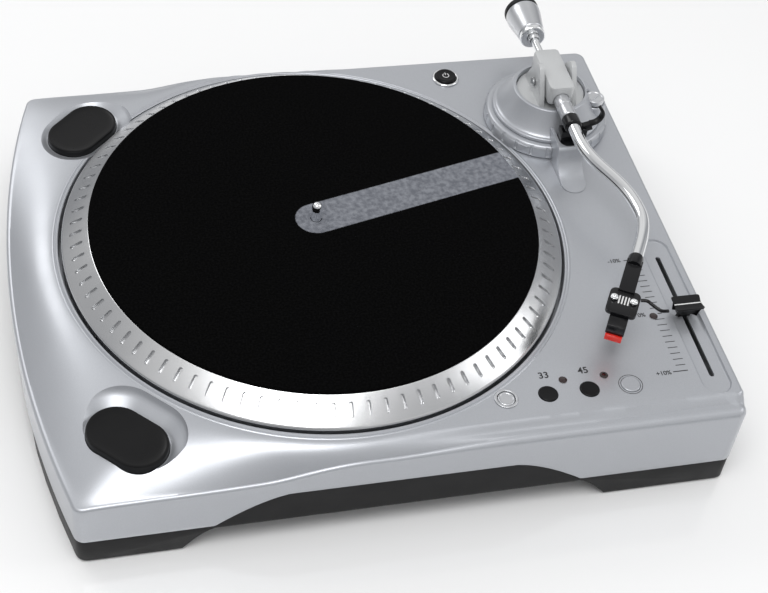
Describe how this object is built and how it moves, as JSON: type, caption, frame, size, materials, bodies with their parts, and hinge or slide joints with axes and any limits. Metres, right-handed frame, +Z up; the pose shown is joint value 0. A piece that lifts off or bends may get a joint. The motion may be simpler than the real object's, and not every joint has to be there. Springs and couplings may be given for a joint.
{
  "type": "turntable record player",
  "caption": "Belt-driven record player with an S-shaped tonearm, slipmat, pitch fader, start and speed buttons and a sculpted silver plinth on corner feet.",
  "frame": {"origin": "bottom centre of the bounding box, on the surface the feet stand on", "axes": "+X to the right seen from the front, +Y to the back, +Z up; the arm is at the right and the rear connections face +Y"},
  "size_m": [0.449, 0.3706, 0.1271],
  "materials": {
    "silver_paint": "silver metallic paint on moulded plastic",
    "black_plastic": "fine-grained black moulded plastic",
    "gloss_black": "polished black plastic",
    "grey_plastic": "satin light grey plastic",
    "aluminium": "turned and polished aluminium",
    "chrome": "bright chrome plate",
    "steel": "bright steel",
    "silver_weight": "satin silver paint on cast metal",
    "brass": "plain brass",
    "felt": "black felt with a grey printed stripe",
    "rubber": "black rubber",
    "board": "green circuit board",
    "red_plastic": "bright red plastic",
    "led_red": "dark red lens, unlit",
    "socket_white": "off-white plastic"
  },
  "bodies": {
    "plinth": {"top_shell": "silver_paint", "base_pan": "black_plastic", "foot_pad_1": "rubber", "foot_pad_2": "rubber", "foot_pad_3": "rubber", "foot_pad_4": "rubber", "main_board": "board", "power_transformer": "steel", "bearing_housing": "brass", "drive_motor": "steel", "drive_belt": "rubber", "speed_led_33": "led_red", "speed_led_45": "led_red", "pitch_led": "led_red", "target_lamp_ring": "black_plastic", "power_button_ring": "chrome", "pitch_fader_body": "steel", "rear_panel": "black_plastic", "phono_socket_left": "socket_white", "phono_socket_right": "red_plastic", "ground_terminal": "brass", "power_inlet": "black_plastic", "arm_base": "silver_paint", "arm_dome": "silver_paint", "arm_rest": "silver_paint", "arm_cradle": "black_plastic"},
    "platter_body": {"platter": "aluminium", "slipmat": "felt", "spindle": "chrome"},
    "pulley_body": {"motor_pulley": "brass"},
    "start_front_body": {"start_button_front": "gloss_black"},
    "start_rear_body": {"start_button_rear": "gloss_black"},
    "key_33_body": {"speed_key_33": "gloss_black"},
    "key_45_body": {"speed_key_45": "gloss_black"},
    "aux_key_body": {"aux_key": "silver_paint"},
    "power_body": {"power_button": "gloss_black"},
    "lamp_body": {"target_lamp": "aluminium"},
    "knob_body": {"pitch_knob": "gloss_black"},
    "switch_body": {"line_switch": "black_plastic"},
    "dial_body": {"anti_skate_dial": "grey_plastic"},
    "lock_body": {"arm_lock": "black_plastic"},
    "yoke_body": {"arm_yoke": "grey_plastic", "pivot_screw_left": "steel", "pivot_screw_right": "steel"},
    "arm_body": {"pivot_block": "grey_plastic", "front_collar": "aluminium", "rest_sleeve": "black_plastic", "arm_tube": "chrome", "headshell": "black_plastic", "head_screw_left": "chrome", "head_screw_right": "chrome", "finger_lift": "black_plastic", "cartridge": "black_plastic", "stylus_holder": "red_plastic", "rear_shaft": "chrome"},
    "sleeve_body": {"weight_sleeve": "steel"},
    "weight_body": {"counterweight": "silver_weight", "weight_cap": "rubber"},
    "force_dial_body": {"weight_dial": "chrome"}
  },
  "joints": [
    {"name": "platter_spin", "type": "hinge", "parent": "plinth", "child": "platter_body", "pos_m": [-0.021, 0.0022, 0.06], "axis": [0, 0, -1], "continuous": true},
    {"name": "pulley_spin", "type": "hinge", "parent": "plinth", "child": "pulley_body", "pos_m": [-0.12146, 0.0602, 0.06], "axis": [0, 0, -1], "continuous": true},
    {"name": "start_front_press", "type": "slide", "parent": "plinth", "child": "start_front_body", "axis": [0, 0, -1], "range_m": [0, 0.002], "stiffness_N_per_m": 400, "springref_m": -0.004},
    {"name": "start_rear_press", "type": "slide", "parent": "plinth", "child": "start_rear_body", "axis": [0, 0, -1], "range_m": [0, 0.002], "stiffness_N_per_m": 400, "springref_m": -0.004},
    {"name": "speed_33_press", "type": "slide", "parent": "plinth", "child": "key_33_body", "axis": [0, 0, -1], "range_m": [0, 0.0012], "stiffness_N_per_m": 400, "springref_m": -0.002},
    {"name": "speed_45_press", "type": "slide", "parent": "plinth", "child": "key_45_body", "axis": [0, 0, -1], "range_m": [0, 0.0012], "stiffness_N_per_m": 400, "springref_m": -0.002},
    {"name": "aux_press", "type": "slide", "parent": "plinth", "child": "aux_key_body", "axis": [0, 0, -1], "range_m": [0, 0.0012], "stiffness_N_per_m": 400, "springref_m": -0.002},
    {"name": "power_press", "type": "slide", "parent": "plinth", "child": "power_body", "axis": [0, 0, -1], "range_m": [0, 0.002], "stiffness_N_per_m": 400, "springref_m": -0.002},
    {"name": "lamp_rise", "type": "slide", "parent": "plinth", "child": "lamp_body", "axis": [0, 0, 1], "range_m": [0, 0.012]},
    {"name": "pitch_slide", "type": "slide", "parent": "plinth", "child": "knob_body", "axis": [0, -1, 0], "range_m": [-0.05, 0.05]},
    {"name": "line_slide", "type": "slide", "parent": "plinth", "child": "switch_body", "axis": [1, 0, 0], "range_m": [0, 0.003]},
    {"name": "anti_skate_turn", "type": "hinge", "parent": "plinth", "child": "dial_body", "pos_m": [0.2035, 0.0922, 0.097], "axis": [0, 0, 1], "range_deg": [0, 240]},
    {"name": "lock_close", "type": "hinge", "parent": "plinth", "child": "lock_body", "pos_m": [0.182, 0.0562, 0.102], "axis": [0, -1, 0], "range_deg": [0, 62]},
    {"name": "arm_swing", "type": "hinge", "parent": "plinth", "child": "yoke_body", "pos_m": [0.1715, 0.1012, 0.1], "axis": [0, 0, -1], "range_deg": [0, 46]},
    {"name": "arm_tilt", "type": "hinge", "parent": "yoke_body", "child": "arm_body", "pos_m": [0.1715, 0.1012, 0.11], "axis": [-1, 0, 0], "range_deg": [0, 6]},
    {"name": "weight_travel", "type": "slide", "parent": "arm_body", "child": "sleeve_body", "axis": [0, 1, 0], "range_m": [-0.006, 0.006]},
    {"name": "weight_turn", "type": "hinge", "parent": "sleeve_body", "child": "weight_body", "pos_m": [0.1715, 0.1692, 0.11], "axis": [0, 1, 0], "range_deg": [-540, 540]},
    {"name": "force_dial_turn", "type": "hinge", "parent": "weight_body", "child": "force_dial_body", "pos_m": [0.1715, 0.1532, 0.11], "axis": [0, 1, 0], "continuous": true}
  ],
  "couplings": [
    {"joint": "pulley_spin", "follows": "platter_spin", "ratio": 12.571},
    {"joint": "weight_travel", "follows": "weight_turn", "m_per_rad": 0.0006366}
  ]
}
